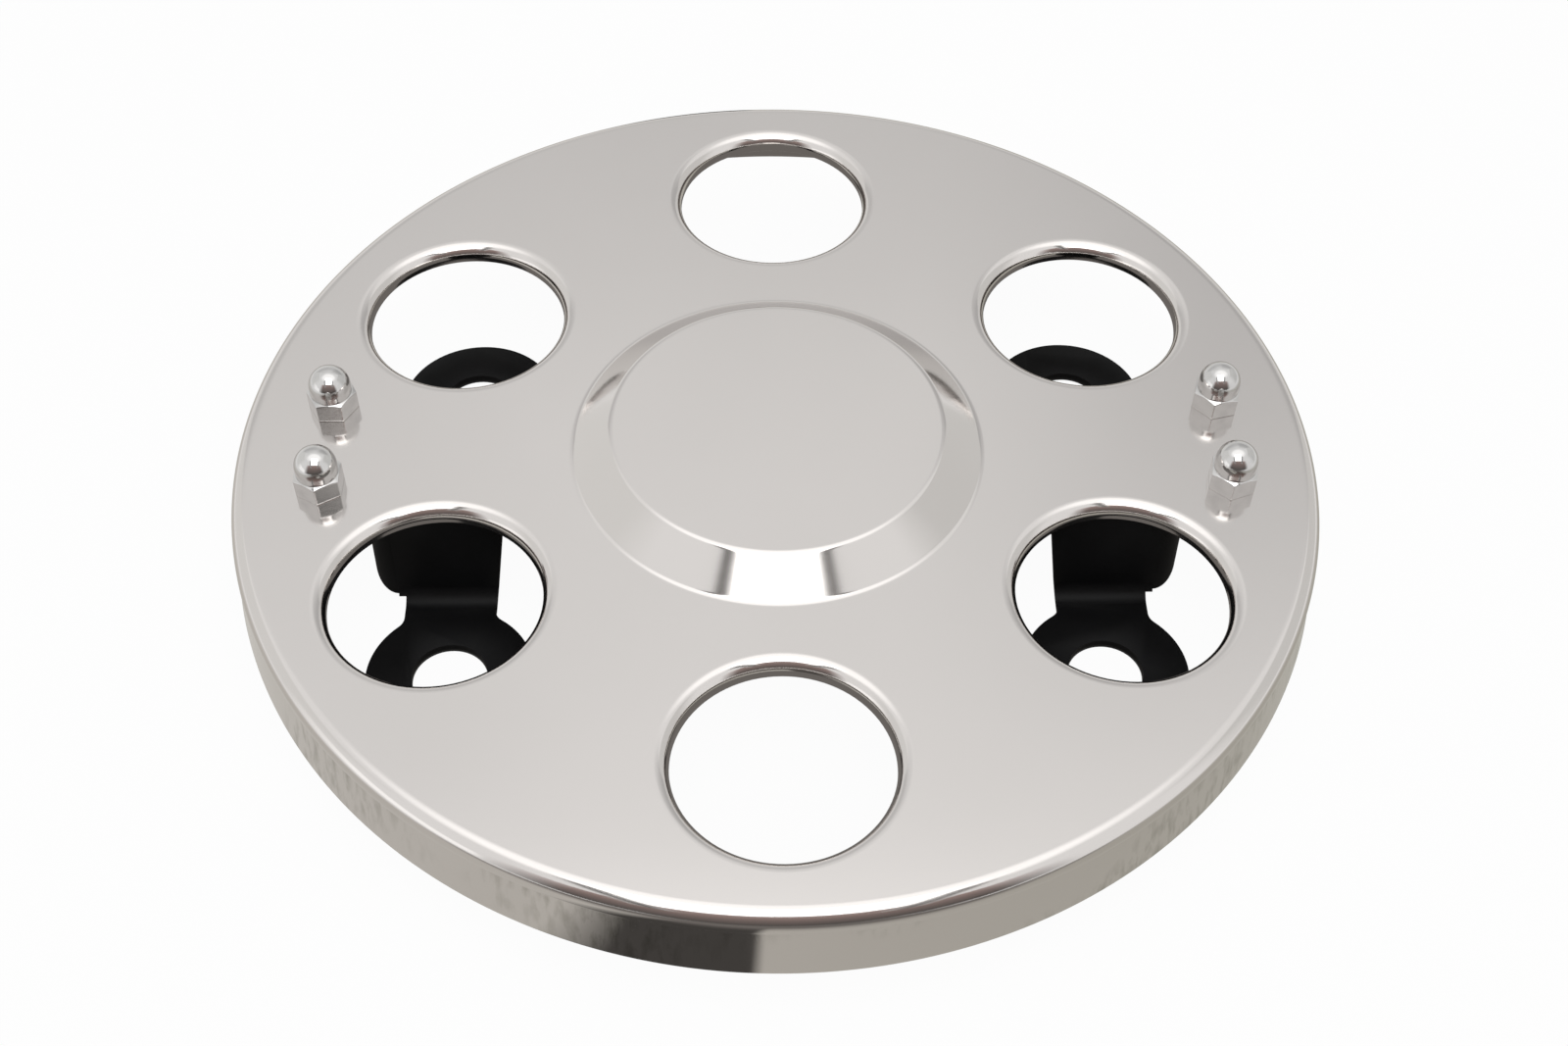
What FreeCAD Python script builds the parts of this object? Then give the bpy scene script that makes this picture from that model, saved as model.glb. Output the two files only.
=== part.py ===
import FreeCAD, Part
import math
import os

# Truck wheel cover: a pressed disc that two saddle brackets hold over the wheel studs.
# Millimetres. Z = 0 is the plane where the brackets sit on the wheel, and +Z points away from the wheel.
# The brackets lie at +X and -X, each between two neighbouring studs.

Vector = FreeCAD.Vector

# Wheel that the cover fits
stud_count = 6
stud_circle = 222.25

# Cover disc, sizes on its outer face
sheet = 1.2
cover_radius = 161.0
face_height = 42.0
rim_radius = 5.0
skirt_depth = 23.5
skirt_flare = 1.3
joggle_drop = 5.4
joggle_height = 1.0
joggle_step = 0.5
hidden_bend_flats = 2

# Raised boss in the middle of the disc
boss_height = 8.7
boss_top_radius = 49.0
boss_base_radius = 60.4
boss_edge_bend = 3.0
boss_foot_bend = 3.0

# Flanged hand holes over the studs
hand_hole_radius = 30.1
lip_bend = 3.0
lip_depth = 5.7
lip_land = 0.6
lip_bend_flats = 3

# Brackets, pressed from plate
plate = 3.0
riser_clearance = 1.0
riser_lean = 3.0
riser_inner_top = 79.0
riser_inner_foot = 84.5
riser_outer = 120.6
riser_low_edge = 4.5
riser_corner = 7.0
shoulder_bend = 6.0
foot_bend = 5.0
flange_bend = 7.0
flange_depth = 14.0
flange_relief = 2.0
neck_outer = 111.5
neck_fillet = 4.5
ear_radius = 24.5
stud_hole_radius = 11.0

# Tongue of the bracket that carries the bolts
tongue_margin = 11.0
tongue_gap = 2.5
tongue_corner = 8.0
tongue_fillet = 2.0

# Bolts and acorn nuts that clamp the disc to the brackets
bolt_x = 132.6
bolt_y = 16.0
bolt_radius = 4.0
bolt_length = 12.0
bolt_head_height = 5.3
bolt_hole_clearance = 0.5
wrench_size = 13.0
wrench_face_radius = 6.4
wrench_chamfer_angle = 30.0
nut_height = 15.0
nut_hex_height = 6.5
nut_dome_radius = 6.2
nut_bore_depth = 11.0
thread_clearance = 0.1
nut_turns = {"right_back": 14.0, "left_back": 0.0, "left_front": 30.0, "right_front": 20.0}

# Places that follow from the sizes above
stud_step = 360.0 / stud_count
ear_x = stud_circle / 2 * math.cos(math.radians(stud_step / 2))
ear_y = stud_circle / 2 * math.sin(math.radians(stud_step / 2))
bracket_top = face_height - sheet
riser_top_y = ear_y - hand_hole_radius - sheet - riser_clearance
riser_foot_y = riser_top_y + riser_lean
riser_angle = math.atan2(riser_lean, bracket_top - plate)
bend_reach = math.tan((math.pi / 2 - riser_angle) / 2)
shoulder_flat_y = riser_top_y - shoulder_bend * bend_reach
foot_flat_y = riser_foot_y + foot_bend * bend_reach
riser_flat_x = riser_outer - flange_bend
bolt_hole_radius = bolt_radius + bolt_hole_clearance
overshoot = 1.0

X_AXIS = Vector(1, 0, 0)
Y_AXIS = Vector(0, 1, 0)
Z_AXIS = Vector(0, 0, 1)
CENTRE = Vector(0, 0, 0)


def corner_arc(before, here, after, radius):
    """First, middle and last point of the arc that rounds one corner of a path."""
    back = (before - here).normalize()
    ahead = (after - here).normalize()
    half = back.getAngle(ahead) / 2
    reach = radius / math.tan(half)
    middle = here + (back + ahead).normalize() * (radius / math.sin(half) - radius)
    return here + back * reach, middle, here + ahead * reach


def path_edges(points, radii, flats=0):
    """Edges along an open path, with an arc at each inner corner that has a radius.

    Where a number of flats is given, each arc is broken into that many equal chords.
    """
    edges = []
    start = points[0]
    for before, here, after, radius in zip(points, points[1:], points[2:], radii):
        if not radius:
            edges.append(Part.makeLine(start, here))
            start = here
            continue
        first, middle, last = corner_arc(before, here, after, radius)
        arc = Part.Arc(first, middle, last).toShape()
        edges.append(Part.makeLine(start, first))
        if flats:
            chords = arc.discretize(flats + 1)
            edges += [Part.makeLine(one, two) for one, two in zip(chords, chords[1:])]
        else:
            edges.append(arc)
        start = last
    edges.append(Part.makeLine(start, points[-1]))
    return edges


def rounded_face(points, radii):
    """Face inside a closed outline, each corner rounded by its own radius."""
    middle = (points[-1] + points[0]) * 0.5
    return Part.Face(Part.Wire(path_edges([middle] + points + [middle], radii)))


def bent_sheet_face(points, radii, normal, thickness, near_flats=0, far_flats=0):
    """Section of a sheet bent along a path, the radii being those of the path's own side.

    The sheet lies on the side of the path that the direction of travel crossed with the normal points to.
    The bends are arcs, or flats where a number of flats is given for that side.
    """
    sides = [(after - before).normalize().cross(normal) for before, after in zip(points, points[1:])]
    far_points = [points[0] + sides[0] * thickness]
    far_radii = []
    for here, after, side, next_side, radius in zip(points[1:], points[2:], sides, sides[1:], radii):
        far_points.append(here + (side + next_side) * (thickness / (1 + side.dot(next_side))))
        bends_over_sheet = (after - here).dot(side) > 0
        far_radius = radius - thickness if bends_over_sheet else radius + thickness
        far_radii.append(far_radius if radius else 0)
    far_points.append(points[-1] + sides[-1] * thickness)
    edges = path_edges(points, radii, near_flats)
    edges.append(Part.makeLine(points[-1], far_points[-1]))
    edges += path_edges(far_points[::-1], far_radii[::-1], far_flats)
    edges.append(Part.makeLine(far_points[0], points[0]))
    return Part.Face(Part.Wire(edges))


def upright_hole(radius, x, y, top):
    """Cylinder from below the part up to the given height, for cutting a hole."""
    return Part.makeCylinder(radius, top + overshoot, Vector(x, y, -overshoot), Z_AXIS)


def both_ways(shape):
    """A shape at the front of a bracket together with its mirror image at the back."""
    return shape.fuse(shape.mirror(CENTRE, Y_AXIS))


def bolt_places():
    """Names and centres of the four bolts, seen from outside with -Y at the front."""
    for side, x in (("right", bolt_x), ("left", -bolt_x)):
        for end, y in (("back", bolt_y), ("front", -bolt_y)):
            yield side + "_" + end, Vector(x, y, 0)


def hand_hole_lip():
    """Ring of sheet turned down around a hand hole, with its axis on Z."""
    reach = hand_hole_radius + lip_bend + lip_land
    section = [
        Vector(hand_hole_radius, 0, face_height - lip_depth),
        Vector(hand_hole_radius, 0, face_height),
        Vector(reach, 0, face_height),
    ]
    face = bent_sheet_face(section, [lip_bend], -Y_AXIS, sheet, lip_bend_flats, hidden_bend_flats)
    return reach, face.revolve(CENTRE, Z_AXIS, 360)


def disc_sector():
    """One hand hole's share of the disc, with the boss, the rolled rim and the stepped, flared skirt."""
    boss_top = face_height + boss_height
    rim_side = cover_radius - skirt_flare
    joggle_top = face_height - joggle_drop
    section = [
        Vector(0, 0, boss_top),
        Vector(boss_top_radius, 0, boss_top),
        Vector(boss_base_radius, 0, face_height),
        Vector(rim_side, 0, face_height),
        Vector(rim_side, 0, joggle_top),
        Vector(rim_side - joggle_step, 0, joggle_top - joggle_height),
        Vector(cover_radius, 0, face_height - skirt_depth),
    ]
    bends = [boss_edge_bend, boss_foot_bend, rim_radius, 0, 0]
    face = bent_sheet_face(section, bends, -Y_AXIS, sheet, far_flats=hidden_bend_flats)
    sector = face.revolve(CENTRE, Z_AXIS, stud_step)
    lip_reach, lip = hand_hole_lip()
    sector = sector.cut(upright_hole(lip_reach, ear_x, ear_y, boss_top))
    return sector.fuse(lip.translated(Vector(ear_x, ear_y, 0))).removeSplitter()


def cover_disc():
    """Pressed disc: a sector for each hand hole, repeated about the wheel's axis, with the bolt holes."""
    sector = disc_sector()
    copies = [sector.rotated(CENTRE, Z_AXIS, stud_step * index) for index in range(1, stud_count)]
    disc = sector.multiFuse(copies)
    for name, place in bolt_places():
        disc = disc.cut(upright_hole(bolt_hole_radius, place.x, place.y, face_height))
    return disc


def saddle_strip():
    """Plate bent over both risers, trimmed to the taper of the risers and the necks of the ears."""
    path = [
        Vector(0, -ear_y, plate),
        Vector(0, -riser_foot_y, plate),
        Vector(0, -riser_top_y, bracket_top),
        Vector(0, riser_top_y, bracket_top),
        Vector(0, riser_foot_y, plate),
        Vector(0, ear_y, plate),
    ]
    bends = [foot_bend, shoulder_bend, shoulder_bend, foot_bend]
    strip = bent_sheet_face(path, bends, X_AXIS, plate).extrude(X_AXIS * riser_flat_x)
    front = -foot_flat_y
    outline = [
        Vector(riser_inner_top, front, bracket_top),
        Vector(riser_flat_x, front, bracket_top),
        Vector(riser_flat_x, front, riser_low_edge),
        Vector(neck_outer, front, riser_low_edge),
        Vector(neck_outer, front, 0),
        Vector(riser_inner_foot, front, 0),
    ]
    trim = rounded_face(outline, [0, 0, 0, 0, 0, 0]).extrude(Y_AXIS * (2 * foot_flat_y))
    return strip.common(trim)


def riser_flange():
    """Outer edge of the front riser, turned back behind it with a rounded lower corner."""
    path = [
        Vector(riser_outer, flange_depth, 0),
        Vector(riser_outer, 0, 0),
        Vector(neck_outer, 0, 0),
    ]
    angle = bent_sheet_face(path, [flange_bend], Z_AXIS, plate).extrude(Z_AXIS * (2 * face_height))
    angle.translate(Z_AXIS * -face_height)
    angle.rotate(CENTRE, X_AXIS, -math.degrees(riser_angle))
    angle.translate(Vector(0, -riser_foot_y, plate))
    top = bracket_top - shoulder_bend - flange_relief
    front = -foot_flat_y
    outline = [
        Vector(neck_outer, front, top),
        Vector(riser_outer, front, top),
        Vector(riser_outer, front, riser_low_edge),
        Vector(neck_outer, front, riser_low_edge),
    ]
    trim = rounded_face(outline, [0, 0, riser_corner, 0]).extrude(Y_AXIS * (2 * foot_flat_y))
    return angle.common(trim)


def ear_side(neck_x, sign):
    """Points where one side of an ear's neck runs into its round pad, seen from the ear's centre."""
    across = sign * (neck_x - ear_x) + neck_fillet
    along = math.sqrt((ear_radius + neck_fillet) ** 2 - across ** 2)
    fillet_centre = Vector(sign * across, along, 0)
    on_neck = Vector(sign * (across - neck_fillet), along, 0)
    on_pad = fillet_centre * (ear_radius / (ear_radius + neck_fillet))
    between = fillet_centre + ((on_neck + on_pad) * 0.5 - fillet_centre).normalize() * neck_fillet
    return on_neck, between, on_pad


def ear():
    """Round front ear that lies on the wheel, with its neck up to the bend of the riser."""
    outer_neck, outer_between, outer_pad = ear_side(neck_outer, 1)
    inner_neck, inner_between, inner_pad = ear_side(riser_inner_foot, -1)
    outer_end = Vector(outer_neck.x, ear_y, 0)
    inner_end = Vector(inner_neck.x, ear_y, 0)
    edges = [
        Part.makeLine(outer_end, outer_neck),
        Part.Arc(outer_neck, outer_between, outer_pad).toShape(),
        Part.Arc(outer_pad, Vector(0, -ear_radius, 0), inner_pad).toShape(),
        Part.Arc(inner_pad, inner_between, inner_neck).toShape(),
        Part.makeLine(inner_neck, inner_end),
        Part.makeLine(inner_end, outer_end),
    ]
    pad = Part.Face(Part.Wire(edges)).extrude(Z_AXIS * plate)
    pad.translate(Vector(ear_x, -ear_y, 0))
    reach = stud_circle
    flat_part = Part.makeBox(2 * reach, reach, plate, Vector(-reach, -foot_flat_y - reach, 0))
    return pad.common(flat_part).cut(upright_hole(stud_hole_radius, ear_x, -ear_y, plate + overshoot))


def tongue():
    """Flat outer part of the bracket's top, clear of the risers, where the bolts go through."""
    start = riser_outer + tongue_gap
    tip = bolt_x + tongue_margin
    half_width = bolt_y + tongue_margin
    stem = min(shoulder_flat_y, half_width)
    outline = [
        Vector(riser_inner_top, -stem, bracket_top),
        Vector(start, -stem, bracket_top),
        Vector(start, -half_width, bracket_top),
        Vector(tip, -half_width, bracket_top),
        Vector(tip, half_width, bracket_top),
        Vector(start, half_width, bracket_top),
        Vector(start, stem, bracket_top),
        Vector(riser_inner_top, stem, bracket_top),
    ]
    radii = [0, tongue_fillet, tongue_fillet, tongue_corner, tongue_corner, tongue_fillet, tongue_fillet, 0]
    return rounded_face(outline, radii).extrude(Z_AXIS * -plate)


def bracket():
    """Right-hand bracket: two ears, two risers with turned-back edges, and the top that holds the disc."""
    body = saddle_strip()
    for piece in (tongue(), both_ways(riser_flange()), both_ways(ear())):
        body = body.fuse(piece)
    for end in (bolt_y, -bolt_y):
        body = body.cut(upright_hole(bolt_hole_radius, bolt_x, end, face_height))
    return body.removeSplitter()


def hexagon(height):
    """Hexagonal prism on Z = 0 with flats across Y and its upper corners chamfered."""
    corner_radius = wrench_size / 2 / math.cos(math.radians(30))
    points = [Vector(corner_radius, 0, 0)]
    for index in range(1, 7):
        angle = math.radians(60 * index)
        points.append(Vector(corner_radius * math.cos(angle), corner_radius * math.sin(angle), 0))
    prism = Part.Face(Part.makePolygon(points)).extrude(Z_AXIS * height)
    spread = height / math.tan(math.radians(wrench_chamfer_angle))
    return prism.common(Part.makeCone(wrench_face_radius + spread, wrench_face_radius, height))


def acorn_nut(turn):
    """Domed nut with a blind bore, seated on Z = 0 and turned about its axis."""
    spring = nut_height - nut_dome_radius
    dome = Part.makeCylinder(nut_dome_radius, spring)
    dome = dome.fuse(Part.makeSphere(nut_dome_radius, Vector(0, 0, spring)))
    bore = Part.makeCylinder(bolt_radius + thread_clearance, nut_bore_depth)
    nut = hexagon(nut_hex_height).fuse(dome).cut(bore).removeSplitter()
    nut.rotate(CENTRE, Z_AXIS, turn)
    return nut


def hex_bolt():
    """Hexagon-head bolt standing on its head, with the bearing face at Z = 0."""
    head = hexagon(bolt_head_height)
    head.rotate(CENTRE, X_AXIS, 180)
    return head.fuse(Part.makeCylinder(bolt_radius, bolt_length)).removeSplitter()


def save(name, *solids):
    """Write one node of the model, made of one solid or of a group of like solids."""
    shape = solids[0] if len(solids) == 1 else Part.makeCompound(list(solids))
    shape.exportStep("parts/" + name + ".step")


os.makedirs("parts", exist_ok=True)

right_bracket = bracket()
left_bracket = right_bracket.rotated(CENTRE, Z_AXIS, 180)
nuts = [acorn_nut(nut_turns[name]).translated(place + Z_AXIS * face_height) for name, place in bolt_places()]
bolts = [hex_bolt().translated(place + Z_AXIS * (bracket_top - plate)) for name, place in bolt_places()]

save("cover_disc", cover_disc())
save("right_bracket", right_bracket)
save("left_bracket", left_bracket)
save("acorn_nuts", *nuts)
save("bracket_bolts", *bolts)
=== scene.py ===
import logging
import math
from dataclasses import dataclass, field, replace
from enum import Enum
from typing import Any, Mapping, Sequence

import bmesh
import bpy
from mathutils import Matrix, Vector


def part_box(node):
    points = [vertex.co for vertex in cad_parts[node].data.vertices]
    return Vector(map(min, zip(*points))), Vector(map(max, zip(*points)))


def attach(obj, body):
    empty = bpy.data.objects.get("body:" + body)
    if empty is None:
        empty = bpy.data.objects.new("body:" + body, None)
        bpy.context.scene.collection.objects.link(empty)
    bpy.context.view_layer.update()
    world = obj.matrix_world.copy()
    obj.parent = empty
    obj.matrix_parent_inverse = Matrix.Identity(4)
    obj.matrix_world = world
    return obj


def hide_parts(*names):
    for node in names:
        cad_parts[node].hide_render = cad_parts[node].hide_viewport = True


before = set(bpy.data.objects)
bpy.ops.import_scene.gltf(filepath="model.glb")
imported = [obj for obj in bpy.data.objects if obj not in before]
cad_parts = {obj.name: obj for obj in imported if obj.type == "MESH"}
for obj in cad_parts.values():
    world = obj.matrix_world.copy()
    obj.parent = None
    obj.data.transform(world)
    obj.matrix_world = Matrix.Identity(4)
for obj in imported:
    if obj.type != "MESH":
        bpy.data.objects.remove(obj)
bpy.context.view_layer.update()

# Truck wheel cover: a polished pressed disc with domed nuts, held by two black saddle brackets.
# Metres. Z = 0 is the plane where the brackets sit on the wheel, and -Y points to the viewer.

BODY = "root"
WELD = 2e-6
EDGE_CHORDS = 3
HOLD_SHARE = 0.25
NOISE_MIDDLE = 0.5

Colour = tuple[float, float, float]
Stretch = tuple[float, float, float]
Span = tuple[float, float]

WHITE: Colour = (1.0, 1.0, 1.0)
BLACK: Colour = (0.0, 0.0, 0.0)

log = logging.getLogger("wheel_cover")


class Slot(Enum):
    """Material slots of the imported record."""

    POLISHED_STEEL = "polished_steel"
    BLACK_PAINT = "black_paint"
    BRIGHT_PLATING = "bright_plating"
    ZINC_STEEL = "zinc_steel"


class Socket(Enum):
    """Kinds of value that a mesh rule takes."""

    GEOMETRY = "NodeSocketGeometry"
    NUMBER = "NodeSocketFloat"
    COUNT = "NodeSocketInt"
    OBJECT = "NodeSocketObject"
    MATERIAL = "NodeSocketMaterial"


def find_socket(sockets: Any, key: int | str) -> bpy.types.NodeSocket:
    """Look up a socket.

    Args:
        sockets: the inputs or outputs of a node.
        key: index, identifier or shown name.

    Returns:
        The socket, the one in use where several share the name.
    """
    if isinstance(key, int):
        return sockets[key]
    by_identifier = [socket for socket in sockets if socket.identifier == key]
    by_name = [socket for socket in sockets if socket.name == key and socket.enabled]
    return (by_identifier or by_name)[0]


class Signal:
    """An output of a node that takes part in arithmetic."""

    def __init__(self, graph: "Graph", node: bpy.types.Node, output: int | str) -> None:
        """Point at one output of a node.

        Args:
            graph: the graph that holds the node.
            node: the node.
            output: index, identifier or shown name of the output.
        """
        self.graph = graph
        self.node = node
        self.key = output

    @property
    def socket(self) -> bpy.types.NodeSocket:
        """The output socket itself."""
        return find_socket(self.node.outputs, self.key)

    def output(self, key: int | str) -> "Signal":
        """Another output of the same node."""
        return Signal(self.graph, self.node, key)

    def part(self, axis: str) -> "Signal":
        """One part of a vector, whose node has the other parts as its other outputs."""
        return self.graph.add("ShaderNodeSeparateXYZ", None, {"Vector": self}, axis)

    def math(self, operation: str, *operands: "Signal | float") -> "Signal":
        """Apply a Math node's operation to the operands, in their order."""
        return self.graph.add("ShaderNodeMath", {"operation": operation}, dict(enumerate(operands)))

    def __add__(self, other: "Signal | float") -> "Signal":
        """Sum."""
        return self.math("ADD", self, other)

    __radd__ = __add__

    def __sub__(self, other: "Signal | float") -> "Signal":
        """Difference."""
        return self.math("SUBTRACT", self, other)

    def __rsub__(self, other: float) -> "Signal":
        """Difference from a number."""
        return self.math("SUBTRACT", other, self)

    def __mul__(self, other: "Signal | float") -> "Signal":
        """Product."""
        return self.math("MULTIPLY", self, other)

    __rmul__ = __mul__

    def __truediv__(self, other: "Signal | float") -> "Signal":
        """Quotient."""
        return self.math("DIVIDE", self, other)

    def __rtruediv__(self, other: float) -> "Signal":
        """Quotient of a number by this."""
        return self.math("DIVIDE", other, self)

    def __pow__(self, other: "Signal | float") -> "Signal":
        """Power."""
        return self.math("POWER", self, other)

    def floor(self) -> "Signal":
        """Whole part."""
        return self.math("FLOOR", self)

    def size(self) -> "Signal":
        """Value without its sign."""
        return self.math("ABSOLUTE", self)

    def larger(self, other: "Signal | float") -> "Signal":
        """Larger of two values."""
        return self.math("MAXIMUM", self, other)

    def diagonal(self, other: "Signal") -> "Signal":
        """Length of the diagonal over two sides."""
        return (self ** 2 + other ** 2) ** 0.5

    def ramp(self, low: float, high: float) -> "Signal":
        """Rise from 0 at the low value to 1 at the high one, and stay there."""
        sockets = {"Value": self, "From Min": low, "From Max": high}
        return self.graph.add("ShaderNodeMapRange", {"clamp": True}, sockets, "Result")


class Graph:
    """A node tree of a material, a world or a mesh rule, while it is being built."""

    def __init__(self, tree: bpy.types.NodeTree) -> None:
        """Start with an empty tree."""
        self.tree = tree
        tree.nodes.clear()

    def add(
        self,
        kind: str,
        settings: Mapping[str, Any] | None = None,
        sockets: Mapping[int | str, Any] | None = None,
        output: int | str = 0,
    ) -> Signal:
        """Add one node.

        Args:
            kind: Blender's name for the type of node.
            settings: properties of the node, set before its sockets.
            sockets: a value, a signal or a list of signals for each input, by index, identifier or name.
            output: which output to hand back.

        Returns:
            That output of the new node.
        """
        node = self.tree.nodes.new(kind)
        for name, value in (settings or {}).items():
            setattr(node, name, value)
        for key, value in (sockets or {}).items():
            socket = find_socket(node.inputs, key)
            signals = [s for s in (value if isinstance(value, list) else [value]) if isinstance(s, Signal)]
            for signal in signals:
                self.tree.links.new(signal.socket, socket)
            if not signals:
                socket.default_value = value
        return Signal(self, node, output)

    def coords(self) -> Signal:
        """Place on the object, in metres."""
        return self.add("ShaderNodeTexCoord", None, None, "Object")

    def surface(self, shader: Signal) -> None:
        """Close a material with its shader."""
        self.add("ShaderNodeOutputMaterial", None, {"Surface": shader})


class MeshRule:
    """A Geometry Nodes tree with named inputs, which turns a starting mesh into a plain finished one."""

    def __init__(self, name: str, inputs: Mapping[str, Socket]) -> None:
        """Make the tree's interface.

        Args:
            name: name of the tree.
            inputs: the kind of each named input, besides the starting geometry and the material.
        """
        self.tree = bpy.data.node_groups.new(name, "GeometryNodeTree")
        self.graph = Graph(self.tree)
        self.identifiers: dict[str, str] = {}
        for label, kind in {"Geometry": Socket.GEOMETRY, **inputs, "Material": Socket.MATERIAL}.items():
            made = self.tree.interface.new_socket(label, in_out="INPUT", socket_type=kind.value)
            self.identifiers[label] = made.identifier
        self.tree.interface.new_socket("Geometry", in_out="OUTPUT", socket_type=Socket.GEOMETRY.value)
        self.entry = self.graph.add("NodeGroupInput")

    def value(self, label: str) -> Signal:
        """Signal of one named input."""
        return self.entry.output(self.identifiers[label])

    def mark(self, name: str) -> Signal:
        """Number that each marked place carries by a name."""
        return self.graph.add(
            "GeometryNodeInputNamedAttribute", {"data_type": "FLOAT"}, {"Name": name}, "Attribute"
        )

    def end(self, geometry: Signal) -> None:
        """Close the tree: smooth faces, real geometry and the material.

        Args:
            geometry: what the rule has made.
        """
        smooth = self.graph.add("GeometryNodeSetShadeSmooth", None, {0: geometry})
        real = self.graph.add("GeometryNodeRealizeInstances", None, {"Geometry": smooth})
        sockets = {"Geometry": real, "Material": self.value("Material")}
        dressed = self.graph.add("GeometryNodeSetMaterial", None, sockets)
        self.graph.add("NodeGroupOutput", None, {0: dressed})

    def run(self, start: bpy.types.Mesh, values: Mapping[str, Any]) -> bpy.types.Mesh:
        """Run the rule once.

        Args:
            start: the starting mesh.
            values: value of each named input.

        Returns:
            The finished mesh.
        """
        holder = link_object(start.name, start)
        modifier = holder.modifiers.new(self.tree.name, "NODES")
        modifier.node_group = self.tree
        for label, value in values.items():
            modifier[self.identifiers[label]] = value
        mesh = evaluated_mesh(holder)
        holder.modifiers.remove(modifier)
        bpy.data.objects.remove(holder)
        return mesh


def link_object(name: str, mesh: bpy.types.Mesh) -> bpy.types.Object:
    """Put a mesh in the scene, at the origin.

    Args:
        name: name of the object.
        mesh: its mesh.

    Returns:
        The linked object.
    """
    made = bpy.data.objects.new(name, mesh)
    bpy.context.scene.collection.objects.link(made)
    return made


def evaluated_mesh(holder: bpy.types.Object) -> bpy.types.Mesh:
    """Plain mesh of an object with its modifiers applied.

    Args:
        holder: an object of the scene.

    Returns:
        A new mesh.
    """
    graph = bpy.context.evaluated_depsgraph_get()
    return bpy.data.meshes.new_from_object(holder.evaluated_get(graph), depsgraph=graph)


def modified_mesh(
    mesh: bpy.types.Mesh, modifiers: Sequence[tuple[str, Mapping[str, Any]]]
) -> bpy.types.Mesh:
    """Plain mesh that a stack of modifiers makes.

    Args:
        mesh: the starting mesh.
        modifiers: type and settings of each modifier, in order.

    Returns:
        A new mesh.
    """
    holder = link_object(mesh.name, mesh)
    for kind, settings in modifiers:
        modifier = holder.modifiers.new(kind, kind)
        for name, value in settings.items():
            setattr(modifier, name, value)
    made = evaluated_mesh(holder)
    bpy.data.objects.remove(holder)
    return made


def welded_mesh(name: str, meshes: Sequence[bpy.types.Mesh]) -> bpy.types.Mesh:
    """Join meshes into one closed skin.

    Args:
        name: name of the new mesh.
        meshes: meshes whose edges meet.

    Returns:
        The joined mesh, with its faces pointing outwards.
    """
    skin = bmesh.new()
    for mesh in meshes:
        skin.from_mesh(mesh)
    bmesh.ops.remove_doubles(skin, verts=skin.verts, dist=WELD)
    bmesh.ops.recalc_face_normals(skin, faces=skin.faces)
    open_edges = sum(not edge.is_manifold for edge in skin.edges)
    joined = bpy.data.meshes.new(name)
    skin.to_mesh(joined)
    skin.free()
    log.info("%s: %d faces, %d open edges", name, len(joined.polygons), open_edges)
    return joined


def marked_places(points: Sequence[Vector], **marks: Sequence[float]) -> bpy.types.Mesh:
    """Loose points that carry numbers.

    Args:
        points: the places.
        marks: one number for each place, by name.

    Returns:
        A mesh of points with those attributes.
    """
    mesh = bpy.data.meshes.new("places")
    mesh.from_pydata(points, [], [])
    for name, numbers in marks.items():
        mesh.attributes.new(name, "FLOAT", "POINT").data.foreach_set("value", list(numbers))
    return mesh


@dataclass(frozen=True)
class Corner:
    """Corner of a section: distance from the axis, height, radius of its bend and chords in that bend."""

    out: float
    up: float
    radius: float = 0.0
    chords: int = EDGE_CHORDS

    @property
    def place(self) -> Vector:
        """The corner as a point of the X-Z plane."""
        return Vector((self.out, 0.0, self.up))


def bend_points(before: Vector, corner: Corner, after: Vector) -> list[Vector]:
    """Points along one bend.

    Args:
        before: corner before this one.
        corner: the corner to round.
        after: corner after this one.

    Returns:
        Points from the first tangent point to the last.
    """
    here = corner.place
    back = (before - here).normalized()
    ahead = (after - here).normalized()
    half = back.angle(ahead) / 2
    reach = corner.radius / math.tan(half)
    centre = here + (back + ahead).normalized() * (corner.radius / math.sin(half))
    first = here + back * reach - centre
    last = here + ahead * reach - centre
    sweep = math.pi - 2 * half
    points = []
    for step in range(corner.chords + 1):
        turn = sweep * step / corner.chords
        points.append(centre + (first * math.sin(sweep - turn) + last * math.sin(turn)) / math.sin(sweep))
    return points


def bent_line(corners: Sequence[Corner], hold: float) -> list[Vector]:
    """Section line with rounded bends and holding points on the straights between them.

    Args:
        corners: the section's corners in order.
        hold: distance of the holding points from the bends, less on a short straight.

    Returns:
        The ordered points in the X-Z plane, as many for any corners with the same chords.
    """
    places = [corner.place for corner in corners]
    neighbours = zip(places, corners[1:], places[2:])
    bends = [bend_points(before, corner, after) for before, corner, after in neighbours]
    runs = [places[:1], *bends, places[-1:]]
    points = list(runs[0])
    for run, following in zip(runs, runs[1:]):
        straight = following[0] - run[-1]
        step = straight.normalized() * min(hold, straight.length * HOLD_SHARE)
        points += [run[-1] + step, following[0] - step, *following]
    return points


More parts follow.
